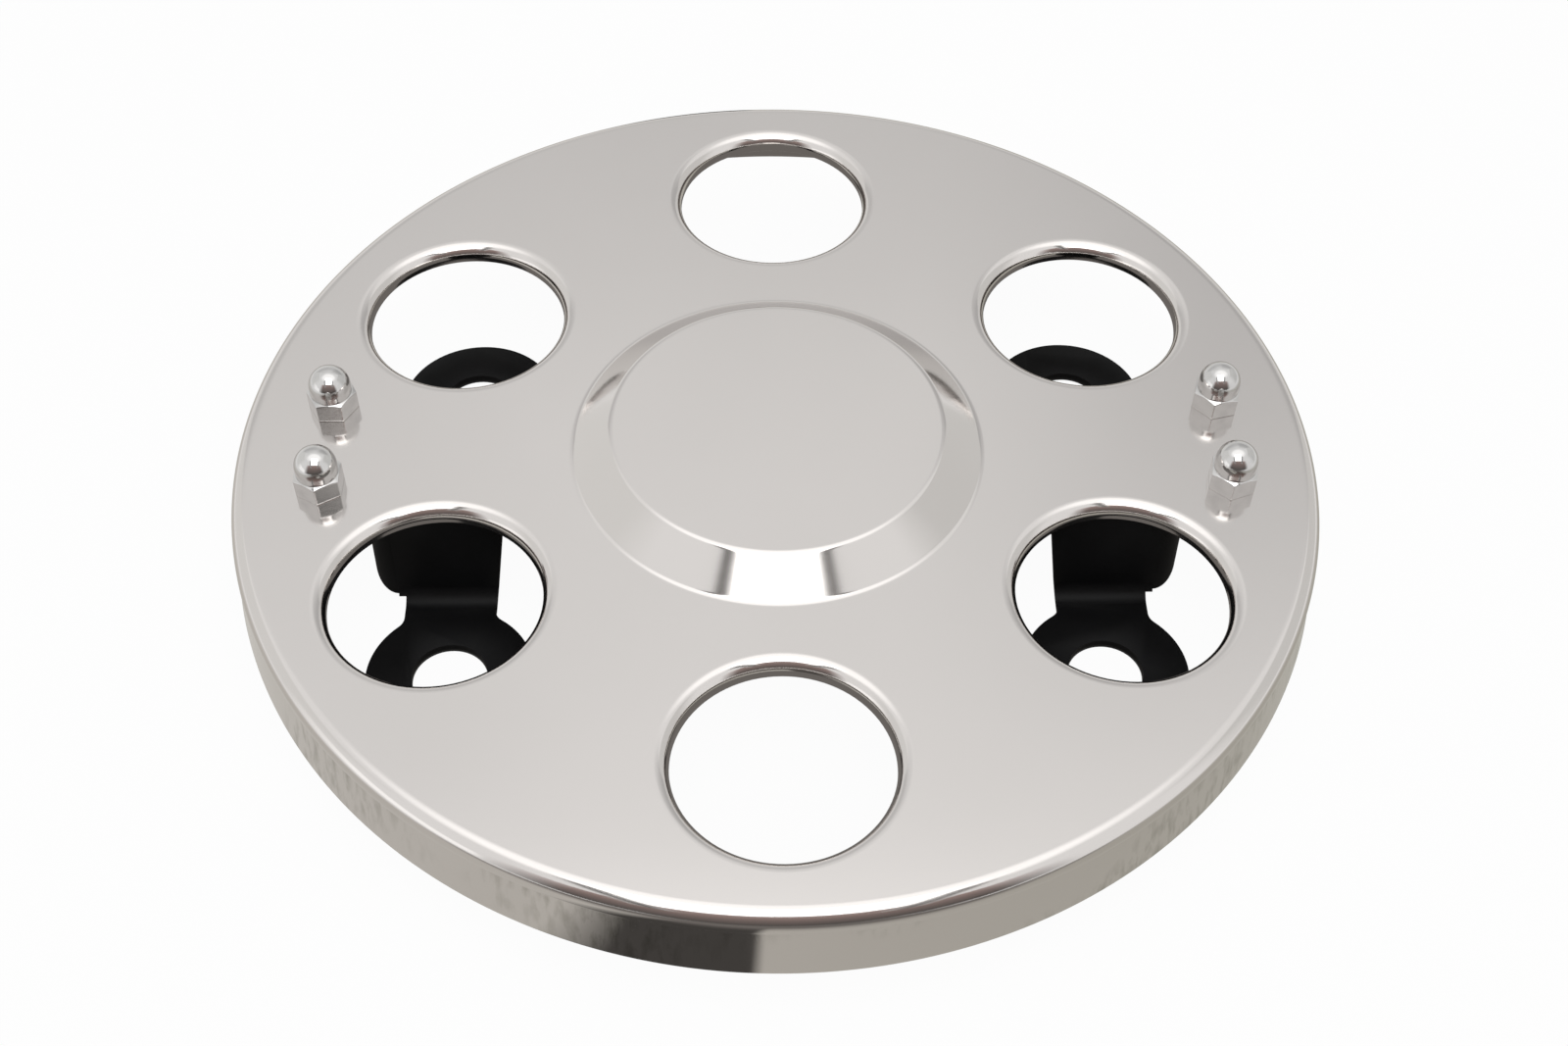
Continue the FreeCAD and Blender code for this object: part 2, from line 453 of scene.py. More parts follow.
def sheet_back(front: Sequence[Corner], sheet: float, tightest: float) -> list[Corner]:
    """Other side of a bent sheet, which lies to the right of its front's direction of travel.

    Args:
        front: corners of the sheet's front.
        sheet: thickness of the sheet.
        tightest: smallest radius of a bend.

    Returns:
        The corners of the back, in the same order.
    """
    places = [corner.place for corner in front]
    ways = [(after - before).normalized() for before, after in zip(places, places[1:])]
    sides = [Vector((way.z, 0.0, -way.x)) for way in ways]
    shifts = [(one + two) / (1 + one.dot(two)) for one, two in zip(sides[:1] + sides, sides + sides[-1:])]
    inward = [True, *(way.dot(side) > 0 for way, side in zip(ways[1:], sides)), True]
    back = []
    for corner, shift, turns_in in zip(front, shifts, inward):
        place = corner.place + shift * sheet
        radius = max(corner.radius - sheet, tightest) if turns_in else corner.radius + sheet
        back.append(Corner(place.x, place.z, radius, corner.chords))
    return back


def around_edge(front: Sequence[Corner], back: Sequence[Corner], edge: float) -> list[Corner]:
    """Corners along a sheet's front, around its cut edge and back on the other side.

    Args:
        front: corners of the front, up to the cut edge.
        back: corners of the back in the same order.
        edge: radius on both corners of the cut edge.

    Returns:
        The corners of the whole line.
    """
    ends = [replace(corner, radius=edge, chords=EDGE_CHORDS) for corner in (front[-1], back[-1])]
    return [*front[:-1], *ends, *reversed(back[:-1])]


def turning_rule() -> MeshRule:
    """Rule that turns a section line about the Z axis.

    Returns:
        A rule with the number of steps in a full turn as its input.
    """
    rule = MeshRule("turned_section", {"Steps": Socket.COUNT})
    graph = rule.graph
    section = rule.value("Geometry")
    count = graph.add("GeometryNodeAttributeDomainSize", {"component": "MESH"}, {0: section}, "Point Count")
    columns = rule.value("Steps") + 1
    grid = graph.add("GeometryNodeMeshGrid", None, {"Vertices X": count, "Vertices Y": columns})
    index = graph.add("GeometryNodeInputIndex")
    row = ((index + 0.5) / columns).floor()
    turn = (index - row * columns) * math.tau / rule.value("Steps")
    point = graph.add(
        "GeometryNodeSampleIndex",
        {"data_type": "FLOAT_VECTOR", "domain": "POINT"},
        {"Geometry": section, "Value": graph.add("GeometryNodeInputPosition"), "Index": row},
    )
    sockets = {"Vector": point, "Angle": turn}
    turned = graph.add("ShaderNodeVectorRotate", {"rotation_type": "Z_AXIS"}, sockets)
    placed = graph.add("GeometryNodeSetPosition", None, {"Geometry": grid, "Position": turned})
    rule.end(graph.add("GeometryNodeMergeByDistance", None, {"Geometry": placed, "Distance": WELD}))
    return rule


def copying_rule() -> MeshRule:
    """Rule that sets a copy of a piece at each marked place, turned by the place's own angle.

    Returns:
        A rule with the piece's object as its input.
    """
    rule = MeshRule("copies_at_places", {"Piece": Socket.OBJECT})
    graph = rule.graph
    piece = graph.add("GeometryNodeObjectInfo", None, {"Object": rule.value("Piece")}, "Geometry")
    turn = graph.add("ShaderNodeCombineXYZ", None, {"Z": rule.mark("turn")})
    sockets = {"Points": rule.value("Geometry"), "Instance": piece, "Rotation": turn}
    rule.end(graph.add("GeometryNodeInstanceOnPoints", None, sockets))
    return rule


def pierced_sheet_rule() -> MeshRule:
    """Rule that fills the flat ring between two circles, with a round hole at each marked place.

    Returns:
        A rule with the two radii, the sheet's height and the steps of the circles as inputs.
    """
    lengths = dict.fromkeys(("Inner Radius", "Outer Radius", "Height"), Socket.NUMBER)
    counts = dict.fromkeys(("Ring Steps", "Hole Steps"), Socket.COUNT)
    rule = MeshRule("pierced_sheet", {**lengths, **counts})
    graph = rule.graph
    inner, outer, hole = (
        graph.add(
            "GeometryNodeCurvePrimitiveCircle",
            {"mode": "RADIUS"},
            {"Resolution": rule.value(steps), "Radius": radius},
        )
        for steps, radius in (
            ("Ring Steps", rule.value("Inner Radius")),
            ("Ring Steps", rule.value("Outer Radius")),
            ("Hole Steps", 1.0),
        )
    )
    sockets = {"Points": rule.value("Geometry"), "Instance": hole, "Scale": rule.mark("radius")}
    holes = graph.add("GeometryNodeInstanceOnPoints", None, sockets)
    real = graph.add("GeometryNodeRealizeInstances", None, {"Geometry": holes})
    joined = graph.add("GeometryNodeJoinGeometry", None, {"Geometry": [inner, outer, real]})
    flat = graph.add("GeometryNodeFillCurve", {"mode": "TRIANGLES"}, {"Curve": joined})
    lift = graph.add("ShaderNodeCombineXYZ", None, {"Z": rule.value("Height")})
    rule.end(graph.add("GeometryNodeSetPosition", None, {"Geometry": flat, "Offset": lift}))
    return rule


def new_material(name: str) -> tuple[bpy.types.Material, Graph]:
    """Start a material.

    Args:
        name: name of the material.

    Returns:
        The material and its empty node tree.
    """
    made = bpy.data.materials.new(name)
    made.use_nodes = True
    return made, Graph(made.node_tree)


def opaque(colour: Colour) -> tuple[float, float, float, float]:
    """Colour with full cover."""
    return (*colour, 1.0)


def noise(coords: Signal, scale: float, stretch: Stretch | None = None, detail: float = 3.0) -> Signal:
    """Soft random pattern.

    Args:
        coords: place on the object.
        scale: features in a metre.
        stretch: factors on the three directions.
        detail: octaves of finer pattern.

    Returns:
        A value about one half.
    """
    graph = coords.graph
    if stretch is not None:
        coords = graph.add("ShaderNodeMapping", None, {"Vector": coords, "Scale": stretch})
    return graph.add("ShaderNodeTexNoise", None, {"Vector": coords, "Scale": scale, "Detail": detail}, "Fac")


def blend(share: Signal, first: Colour | Signal, second: Colour | Signal) -> Signal:
    """Mix of two colours.

    Args:
        share: share of the second colour.
        first: the first colour.
        second: the second colour.

    Returns:
        The mixed colour.
    """
    ends = [end if isinstance(end, Signal) else opaque(end) for end in (first, second)]
    sockets = {"Factor_Float": share, "A_Color": ends[0], "B_Color": ends[1]}
    return share.graph.add("ShaderNodeMix", {"data_type": "RGBA"}, sockets, "Result_Color")


def relief(height: Signal, depth: float) -> Signal:
    """Fine relief of a surface.

    Args:
        height: height between 0 and 1.
        depth: what a height of 1 stands for, in metres.

    Returns:
        The normal for the shader.
    """
    return height.graph.add("ShaderNodeBump", None, {"Height": height, "Distance": depth, "Strength": 1.0})


@dataclass(frozen=True)
class Finish:
    """Look of a surface, as one Principled shader."""

    slot: Slot

    def sockets(self, coords: Signal) -> dict[str, Any]:
        """Values and signals of the shader's sockets.

        Args:
            coords: place on the object, in metres.

        Returns:
            A value or a signal for each socket that the finish sets.
        """
        raise NotImplementedError

    def material(self) -> bpy.types.Material:
        """Build the material.

        Returns:
            The new material, named for its slot.
        """
        made, graph = new_material(self.slot.value)
        graph.surface(graph.add("ShaderNodeBsdfPrincipled", None, self.sockets(graph.coords())))
        return made


@dataclass(frozen=True)
class PolishedSteel(Finish):
    """Mill-bright stainless sheet, with rolling lines, haze, specks and forming marks on the skirt."""

    slot: Slot = Slot.POLISHED_STEEL
    colour: Colour = (0.685, 0.656, 0.636)
    dull_colour: Colour = (0.58, 0.555, 0.53)
    stain_colour: Colour = (0.34, 0.33, 0.29)
    roughness: float = 0.115
    relief_depth: float = 4e-6
    base_dulling: float = 0.08
    haze_per_metre: float = 16.0
    haze_roughness: float = 0.05
    haze_dulling: float = 0.35
    lines_per_metre: float = 2400.0
    line_stretch: Stretch = (0.012, 1.0, 1.0)
    line_roughness: float = 0.02
    line_relief: float = 0.5
    speck_cells_per_metre: float = 80.0
    speck_size: float = 0.012
    speck_core: float = 0.6
    speck_patches_per_metre: float = 21.0
    speck_patch_range: Span = (0.6, 0.64)
    speck_roughness: float = 0.2
    speck_dulling: float = 0.8
    marks_per_metre: float = 330.0
    mark_stretch: Stretch = (1.0, 0.28, 1.0)
    mark_range: Span = (0.46, 0.66)
    mark_patches_per_metre: float = 16.0
    mark_patch_range: Span = (0.5, 0.6)
    mark_roughness: float = 0.05
    mark_relief: float = 5.0
    stain_share: float = 0.6
    skirt_radius: float = 0.159
    skirt_fade: float = 0.0005
    skirt_top: float = 0.0356
    skirt_top_fade: float = 0.0006

    def skirt_marks(self, coords: Signal) -> Signal:
        """Upright stains and streaks that forming leaves in places on the skirt.

        Args:
            coords: place on the object.

        Returns:
            Strength of the marks, 0 away from the skirt.
        """
        along = coords.part("X")
        across, up = along.output("Y"), along.output("Z")
        way = along.math("ARCTAN2", across, along) * self.skirt_radius
        unrolled = coords.graph.add("ShaderNodeCombineXYZ", None, {"X": way, "Y": up})
        streaks = noise(unrolled, self.marks_per_metre, self.mark_stretch, detail=4.0)
        patches = noise(unrolled, self.mark_patches_per_metre, detail=1.0).ramp(*self.mark_patch_range)
        on_skirt = along.diagonal(across).ramp(self.skirt_radius - self.skirt_fade, self.skirt_radius)
        below = 1 - up.ramp(self.skirt_top - self.skirt_top_fade, self.skirt_top)
        return streaks.ramp(*self.mark_range) * patches * on_skirt * below

    def specks(self, coords: Signal) -> Signal:
        """Small specks in a few places.

        Args:
            coords: place on the object.

        Returns:
            1 in a speck and 0 elsewhere.
        """
        sockets = {"Vector": coords, "Scale": self.speck_cells_per_metre}
        cells = coords.graph.add("ShaderNodeTexVoronoi", None, sockets, "Distance")
        few = noise(coords, self.speck_patches_per_metre, detail=0.0).ramp(*self.speck_patch_range)
        return (1 - cells.ramp(self.speck_size * self.speck_core, self.speck_size)) * few

    def sockets(self, coords: Signal) -> dict[str, Any]:
        """Values and signals of the shader's sockets.

        Args:
            coords: place on the object, in metres.

        Returns:
            A value or a signal for each socket that the steel sets.
        """
        lines = noise(coords, self.lines_per_metre, self.line_stretch)
        uneven = noise(coords, self.haze_per_metre) - NOISE_MIDDLE
        specks = self.specks(coords)
        marks = self.skirt_marks(coords)
        dullness = uneven * self.haze_dulling + specks * self.speck_dulling + self.base_dulling
        clean = blend(dullness.ramp(0.0, 1.0), self.colour, self.dull_colour)
        brushed = (lines - NOISE_MIDDLE) * self.line_roughness
        roughness = self.roughness + uneven * self.haze_roughness + brushed
        height = lines * self.line_relief + marks * self.mark_relief - specks
        return {
            "Base Color": blend(marks * self.stain_share, clean, self.stain_colour),
            "Metallic": 1.0,
            "Roughness": roughness + specks * self.speck_roughness + marks * self.mark_roughness,
            "Normal": relief(height, self.relief_depth),
        }


@dataclass(frozen=True)
class BlackPaint(Finish):
    """Satin black paint with a slight orange peel, dust and dull patches."""

    slot: Slot = Slot.BLACK_PAINT
    colour: Colour = (0.003, 0.003, 0.0033)
    dusty_colour: Colour = (0.012, 0.012, 0.013)
    roughness: float = 0.42
    gloss: float = 0.14
    peel_per_metre: float = 650.0
    peel_depth: float = 1.2e-5
    patches_per_metre: float = 45.0
    patch_range: Span = (0.35, 0.8)
    patch_share: float = 0.35
    patch_roughness: float = 0.12
    dust_per_metre: float = 2600.0
    dust_range: Span = (0.62, 0.8)
    dust_share: float = 0.6
    dust_roughness: float = 0.2

    def sockets(self, coords: Signal) -> dict[str, Any]:
        """Values and signals of the shader's sockets.

        Args:
            coords: place on the object, in metres.

        Returns:
            A value or a signal for each socket that the paint sets.
        """
        peel = noise(coords, self.peel_per_metre)
        patches = noise(coords, self.patches_per_metre)
        dust = noise(coords, self.dust_per_metre, detail=1.0).ramp(*self.dust_range) * patches
        dirt = patches.ramp(*self.patch_range) * self.patch_share + dust * self.dust_share
        return {
            "Base Color": blend(dirt, self.colour, self.dusty_colour),
            "Metallic": 0.0,
            "Roughness": self.roughness + patches * self.patch_roughness + dust * self.dust_roughness,
            "Specular IOR Level": self.gloss,
            "Normal": relief(peel, self.peel_depth),
        }


@dataclass(frozen=True)
class BrightPlating(Finish):
    """Bright plating on turned steel, with fine turning lines and a faint bloom."""

    slot: Slot = Slot.BRIGHT_PLATING
    colour: Colour = (0.62, 0.61, 0.60)
    dull_colour: Colour = (0.46, 0.455, 0.45)
    roughness: float = 0.055
    turning_per_metre: float = 3200.0
    turning_stretch: Stretch = (0.12, 0.12, 1.0)
    turning_roughness: float = 0.02
    turning_depth: float = 1.5e-6
    bloom_per_metre: float = 240.0
    bloom_range: Span = (0.45, 0.85)
    bloom_share: float = 0.6
    bloom_roughness: float = 0.05

    def sockets(self, coords: Signal) -> dict[str, Any]:
        """Values and signals of the shader's sockets.

        Args:
            coords: place on the object, in metres.

        Returns:
            A value or a signal for each socket that the plating sets.
        """
        turning = noise(coords, self.turning_per_metre, self.turning_stretch)
        bloom = noise(coords, self.bloom_per_metre)
        dullness = bloom.ramp(*self.bloom_range) * self.bloom_share
        return {
            "Base Color": blend(dullness, self.colour, self.dull_colour),
            "Metallic": 1.0,
            "Roughness": self.roughness + bloom * self.bloom_roughness + turning * self.turning_roughness,
            "Normal": relief(turning, self.turning_depth),
        }


@dataclass(frozen=True)
class ZincSteel(Finish):
    """Zinc plated steel, grey and slightly cloudy."""

    slot: Slot = Slot.ZINC_STEEL
    colour: Colour = (0.50, 0.51, 0.53)
    dull_colour: Colour = (0.30, 0.31, 0.33)
    roughness: float = 0.26
    clouds_per_metre: float = 420.0
    cloud_range: Span = (0.4, 0.75)
    cloud_roughness: float = 0.15
    grain_per_metre: float = 5200.0
    grain_roughness: float = 0.06
    grain_depth: float = 4e-6

    def sockets(self, coords: Signal) -> dict[str, Any]:
        """Values and signals of the shader's sockets.

        Args:
            coords: place on the object, in metres.

        Returns:
            A value or a signal for each socket that the zinc sets.
        """
        clouds = noise(coords, self.clouds_per_metre)
        grain = noise(coords, self.grain_per_metre, detail=1.0)
        return {
            "Base Color": blend(clouds.ramp(*self.cloud_range), self.colour, self.dull_colour),
            "Metallic": 1.0,
            "Roughness": self.roughness + clouds * self.cloud_roughness + grain * self.grain_roughness,
            "Normal": relief(grain, self.grain_depth),
        }


@dataclass
class Workshop:
    """The mesh rules and finishes that the pieces share."""

    turning: MeshRule = field(default_factory=turning_rule)
    copying: MeshRule = field(default_factory=copying_rule)
    piercing: MeshRule = field(default_factory=pierced_sheet_rule)
    materials: dict[Slot, bpy.types.Material] = field(default_factory=dict)

    def __post_init__(self) -> None:
        """Mix the finishes."""
        for finish in (PolishedSteel(), BlackPaint(), BrightPlating(), ZincSteel()):
            self.materials[finish.slot] = finish.material()

    def turned(self, corners: Sequence[Corner], slot: Slot, steps: int, hold: float) -> bpy.types.Mesh:
        """Turn a section about Z.

        Args:
            corners: corners of the section.
            slot: finish of the mesh.
            steps: steps in a full turn.
            hold: distance of the holding points from the bends.

        Returns:
            The turned mesh.
        """
        section = marked_places(bent_line(corners, hold))
        return self.turning.run(section, {"Steps": steps, "Material": self.materials[slot]})

    def copies(
        self, mesh: bpy.types.Mesh, slot: Slot, points: Sequence[Vector], turns: Sequence[float]
    ) -> bpy.types.Mesh:
        """Set copies of a mesh at places.

        Args:
            mesh: what is copied.
            slot: finish of the mesh.
            points: the places.
            turns: angle of each copy about Z, in radians.

        Returns:
            One mesh with all the copies.
        """
        master = link_object("master", mesh)
        values = {"Piece": master, "Material": self.materials[slot]}
        made = self.copying.run(marked_places(points, turn=turns), values)
        bpy.data.objects.remove(master)
        return made

    def show(self, name: str, mesh: bpy.types.Mesh, slot: Slot, node: str) -> None:
        """Show a mesh in place of a CAD node.

        Args:
            name: name of the piece.
            mesh: its finished mesh.
            slot: its finish.
            node: the node that it stands for.
        """
        mesh.materials.clear()
        mesh.materials.append(self.materials[slot])
        mesh.polygons.foreach_set("use_smooth", [True] * len(mesh.polygons))
        piece = link_object(name, mesh)
        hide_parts(node)
        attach(piece, BODY)
        log.info("%s stands for %s with %d faces", name, node, len(mesh.polygons))

    def dress(self, node: str, slot: Slot) -> None:
        """Give a CAD node that stays its finish.

        Args:
            node: the node.
            slot: its finish.
        """
        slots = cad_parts[node].data.materials
        slots.clear()
        slots.append(self.materials[slot])
        log.info("%s keeps its own mesh", node)


@dataclass(frozen=True)
class BoltPattern:
    """Places of the bolts and their nuts, two at each side of the disc."""

    out: float = 0.1326
    half_spacing: float = 0.0160

    def places(self) -> tuple[Vector, ...]:
        """Feet of the bolts' axes: right back, right front, left back and left front."""
        ends = (self.half_spacing, -self.half_spacing)
        return tuple(Vector((x, y, 0.0)) for x in (self.out, -self.out) for y in ends)


@dataclass
class CoverDisc:
    """Pressed disc with its boss, rolled rim, stepped skirt and flanged hand holes."""

    bolt_places: tuple[Vector, ...]
    node: str = "cover_disc"
    sheet: float = 0.0012
    face_height: float = 0.0420
    rim_radius: float = 0.0050
    rim_chords: int = 20
    skirt_depth: float = 0.0235
    skirt_flare: float = 0.0013
    joggle_drop: float = 0.0054
    joggle_height: float = 0.0010
    joggle_step: float = 0.0005
    joggle_bend: float = 0.0006
    joggle_chords: int = 4
    boss_top_radius: float = 0.0490
    boss_base_radius: float = 0.0604
    boss_bend: float = 0.0030
    boss_chords: int = 12
    stud_count: int = 6
    stud_circle: float = 0.22225
    hand_hole_radius: float = 0.0301
    lip_bend: float = 0.0041
    lip_depth: float = 0.0057
    lip_chords: int = 14
    land: float = 0.0006
    cut_edge: float = 0.0002
    bolt_hole_radius: float = 0.0045
    ring_steps: int = 288
    hole_steps: int = 96
    hold: float = 0.0003
    slot: Slot = Slot.POLISHED_STEEL

    def __post_init__(self) -> None:
        """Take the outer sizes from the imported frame."""
        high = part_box(self.node)[1]
        self.radius = high.x
        self.boss_top = high.z
        self.back_height = self.face_height - self.sheet
        self.rim_side = self.radius - self.skirt_flare
        self.rim_start = self.rim_side - self.rim_radius - self.land
        slope = math.atan2(self.boss_top - self.face_height, self.boss_base_radius - self.boss_top_radius)
        self.boss_end = self.boss_base_radius + self.boss_bend * math.tan(slope / 2) + self.land
        self.lip_end = self.hand_hole_radius + self.lip_bend + self.land
        self.bolt_end = self.bolt_hole_radius + self.cut_edge + self.land

    def rim_section(self) -> list[Corner]:
        """Section of the rim and the skirt.

        Returns:
            The corners from the face over the rim and the skirt's edge to the back of the face.
        """
        upper = self.face_height - self.joggle_drop
        lower = upper - self.joggle_height
        front = [
            Corner(self.rim_start, self.face_height),
            Corner(self.rim_side, self.face_height, self.rim_radius, self.rim_chords),
            Corner(self.rim_side, upper, self.joggle_bend, self.joggle_chords),
            Corner(self.rim_side - self.joggle_step, lower, self.joggle_bend, self.joggle_chords),
            Corner(self.radius, self.face_height - self.skirt_depth),
        ]
        return around_edge(front, sheet_back(front, self.sheet, self.cut_edge), self.cut_edge)

    def boss_front(self) -> list[Corner]:
        """Corners of the boss on the face side."""
        return [
            Corner(0.0, self.boss_top),
            Corner(self.boss_top_radius, self.boss_top, self.boss_bend, self.boss_chords),
            Corner(self.boss_base_radius, self.face_height, self.boss_bend, self.boss_chords),
            Corner(self.boss_end, self.face_height),
        ]

    def boss_back(self) -> list[Corner]:
        """Corners of the boss on the hidden side."""
        return sheet_back(self.boss_front(), self.sheet, self.cut_edge)

    def lip_section(self) -> list[Corner]:
        """Section of the flange around a hand hole.

        Returns:
            The corners around the flange's edge, with the hole's axis on Z.
        """
        front = [
            Corner(self.hand_hole_radius, self.face_height - self.lip_depth),
            Corner(self.hand_hole_radius, self.face_height, self.lip_bend, self.lip_chords),
            Corner(self.lip_end, self.face_height),
        ]
        back = sheet_back(front, self.sheet, self.cut_edge)
        return around_edge(front[::-1], back[::-1], self.cut_edge)

    def bolt_section(self) -> list[Corner]:
        """Corners around the edge of a bolt hole, with the hole's axis on Z."""
        return [
            Corner(self.bolt_end, self.face_height),
            Corner(self.bolt_hole_radius, self.face_height, self.cut_edge),
            Corner(self.bolt_hole_radius, self.back_height, self.cut_edge),
            Corner(self.bolt_end, self.back_height),
        ]

    def hand_holes(self) -> list[Vector]:
        """Centres of the hand holes."""
        turns = [math.tau * (index + 0.5) / self.stud_count for index in range(self.stud_count)]
        return [Vector((math.cos(turn), math.sin(turn), 0.0)) * (self.stud_circle / 2) for turn in turns]

    def build(self, shop: Workshop) -> None:
        """Make the disc's skin from its turned and pierced parts and show it.

        Args:
            shop: the shared rules and finishes.
        """
        turned = [
            shop.turned(section, self.slot, self.ring_steps, self.hold)
            for section in (self.rim_section(), self.boss_front(), self.boss_back())
        ]
        holes = self.hand_holes()
        for section, points in ((self.lip_section(), holes), (self.bolt_section(), self.bolt_places)):
            wall = shop.turned(section, self.slot, self.hole_steps, self.hold)
            turned.append(shop.copies(wall, self.slot, points, [0.0] * len(points)))
        radii = [self.lip_end] * len(holes) + [self.bolt_end] * len(self.bolt_places)
        for height in (self.face_height, self.back_height):
            values = {
                "Inner Radius": self.boss_end,
                "Outer Radius": self.rim_start,
                "Height": height,
                "Ring Steps": self.ring_steps,
                "Hole Steps": self.hole_steps,
                "Material": shop.materials[self.slot],
            }
            turned.append(shop.piercing.run(marked_places([*holes, *self.bolt_places], radius=radii), values))
        shop.show("polished_disc", welded_mesh("polished_disc", turned), self.slot, self.node)


@dataclass
class AcornNuts:
    """Domed nuts on the face, each turned a little differently."""

    places: tuple[Vector, ...]
    node: str = "acorn_nuts"
    sides: int = 6
    wrench_size: float = 0.0130
    face_radius: float = 0.0064
    chamfer_angle: float = math.radians(30)
    hex_height: float = 0.0065
    dome_radius: float = 0.0062
    bore_radius: float = 0.0041
    bore_depth: float = 0.0110
    turns: tuple[float, ...] = tuple(math.radians(turn) for turn in (14.0, 20.0, 0.0, 30.0))
    corner_round: float = 0.0004
    edge: float = 0.0003
    edge_share: float = 0.7
    foot_edge: float = 0.0002
    dome_fillet: float = 0.0001
    soft_chords: int = 4
    dome_chords: int = 24
    corner_columns: tuple[float, ...] = (-1.5, -1.0, -0.5, 0.0, 0.5, 1.0, 1.5)
    flat_columns: int = 10
    hold: float = 0.0003
    slot: Slot = Slot.BRIGHT_PLATING

    def __post_init__(self) -> None:
        """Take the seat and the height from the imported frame."""
        low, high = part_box(self.node)
        self.seat = low.z
        self.height = high.z - low.z
        self.side = math.tau / self.sides
        half_side = self.side / 2
        self.round_centre = (self.wrench_size / 2 - self.corner_round) / math.cos(half_side)
        reach = self.round_centre + self.corner_round * math.cos(half_side)
        self.round_angle = math.atan2(self.corner_round * math.sin(half_side), reach)

    def columns(self) -> list[float]:
        """Columns of the nut's skin.

        Returns:
            Their angles, close together around each corner of the hexagon.
        """
        near = [self.round_angle * share for share in self.corner_columns]
        between = [self.side * step / self.flat_columns for step in range(1, self.flat_columns)]
        return [self.side * corner + turn for corner in range(self.sides) for turn in near + between]

    def wall(self, turn: float) -> float:
        """Side of the hexagon, with rounded corners.

        Args:
            turn: angle about the nut's axis.

        Returns:
            Distance of the side from the axis at that angle.
        """
        off = abs((turn + self.side / 2) % self.side - self.side / 2)
        if off >= self.round_angle:
            return self.wrench_size / 2 / math.cos(self.side / 2 - off)
        centre = self.round_centre
        return centre * math.cos(off) + math.sqrt(self.corner_round ** 2 - (centre * math.sin(off)) ** 2)

    def section(self, turn: float) -> list[Corner]:
        """Corners of the nut's section at an angle.

        Args:
            turn: angle about the nut's axis.

        Returns:
            The corners from the top of the bore, around the foot and over the dome.
        """
        out = self.wall(turn)
        chamfer = out - self.face_radius
        edge = min(self.edge, chamfer * self.edge_share)
        return [
            Corner(0.0, self.bore_depth),
            Corner(self.bore_radius, self.bore_depth, self.edge),
            Corner(self.bore_radius, 0.0, self.foot_edge),
            Corner(out, 0.0, self.foot_edge),
            Corner(out, self.hex_height - chamfer * math.tan(self.chamfer_angle), edge, self.soft_chords),
            Corner(self.face_radius, self.hex_height, edge),
            Corner(self.dome_radius, self.hex_height, self.dome_fillet, self.soft_chords),
            Corner(self.dome_radius, self.height, self.dome_radius, self.dome_chords),
            Corner(0.0, self.height),
        ]

    def one_nut(self) -> bpy.types.Mesh:
        """A nut on Z = 0 with softened edges.

        Returns:
            Its mesh.
        """
        columns = self.columns()
        lines = [bent_line(self.section(turn), self.hold) for turn in columns]
        rows = len(lines[0])
        turned = [Matrix.Rotation(turn, 3, "Z") for turn in columns]
        points = [turning @ point for turning, line in zip(turned, lines) for point in line]
        faces = []
        for column in range(len(columns)):
            here, after = column * rows, (column + 1) % len(columns) * rows
            faces += [(here + row, after + row, after + row + 1, here + row + 1) for row in range(rows - 1)]
        loose = bpy.data.meshes.new("nut_columns")
        loose.from_pydata(points, [], faces)
        return welded_mesh("nut", [loose])

    def build(self, shop: Workshop) -> None:
        """Set the nuts on the face and show them.

        Args:
            shop: the shared rules and finishes.
        """
        seats = [place + Vector((0.0, 0.0, self.seat)) for place in self.places]
        mesh = shop.copies(self.one_nut(), self.slot, seats, self.turns)
        shop.show("domed_nuts", mesh, self.slot, self.node)


@dataclass
class Brackets:
    """Two saddle brackets behind the disc, with edges softened by the press and the paint."""

    nodes: tuple[str, str] = ("right_bracket", "left_bracket")
    edge: float = 0.0004
    edge_segments: int = 2
    sharp_angle: float = math.radians(38)
    flat_angle: float = math.radians(0.5)
    flat_weight: int = 60
    slot: Slot = Slot.BLACK_PAINT

    def soft_edged(self, node: str) -> bpy.types.Mesh:
        """Copy of a bracket's solid with rounded edges.

        Args:
            node: the bracket's node.

        Returns:
            The new mesh.
        """
        copy = bmesh.new()
        copy.from_mesh(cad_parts[node].data)
        bmesh.ops.remove_doubles(copy, verts=copy.verts, dist=WELD)
        bmesh.ops.dissolve_limit(copy, angle_limit=self.flat_angle, verts=copy.verts, edges=copy.edges)
        mesh = bpy.data.meshes.new(node + "_edges")
        copy.to_mesh(mesh)
        copy.free()
        bevel = {
            "width": self.edge,
            "segments": self.edge_segments,
            "limit_method": "ANGLE",
            "angle_limit": self.sharp_angle,
        }
        normals = {"keep_sharp": True, "weight": self.flat_weight}
        return modified_mesh(mesh, [("BEVEL", bevel), ("WEIGHTED_NORMAL", normals)])

    def build(self, shop: Workshop) -> None:
        """Show both brackets.

        Args:
            shop: the shared rules and finishes.
        """
        for node in self.nodes:
            shop.show("painted_" + node, self.soft_edged(node), self.slot, node)


def stage_sheet(name: str, corners: Sequence[Vector], material: bpy.types.Material) -> bpy.types.Object:
    """Flat sheet of the stage.

    Args:
        name: name of the sheet.
        corners: its corners in order.
        material: its material.

    Returns:
        The sheet.
    """
    mesh = bpy.data.meshes.new(name)
    mesh.from_pydata(corners, [], [tuple(range(len(corners)))])
    mesh.materials.append(material)
    sheet = link_object(name, mesh)
    return sheet


def upright(width: float, depth: float, height: float) -> list[Vector]:
    """Corners of a sheet that stands on the floor, across the Y axis."""
    ends = ((-1, 0), (1, 0), (1, 1), (-1, 1))
    return [Vector((side * width / 2, depth, rise * height)) for side, rise in ends]


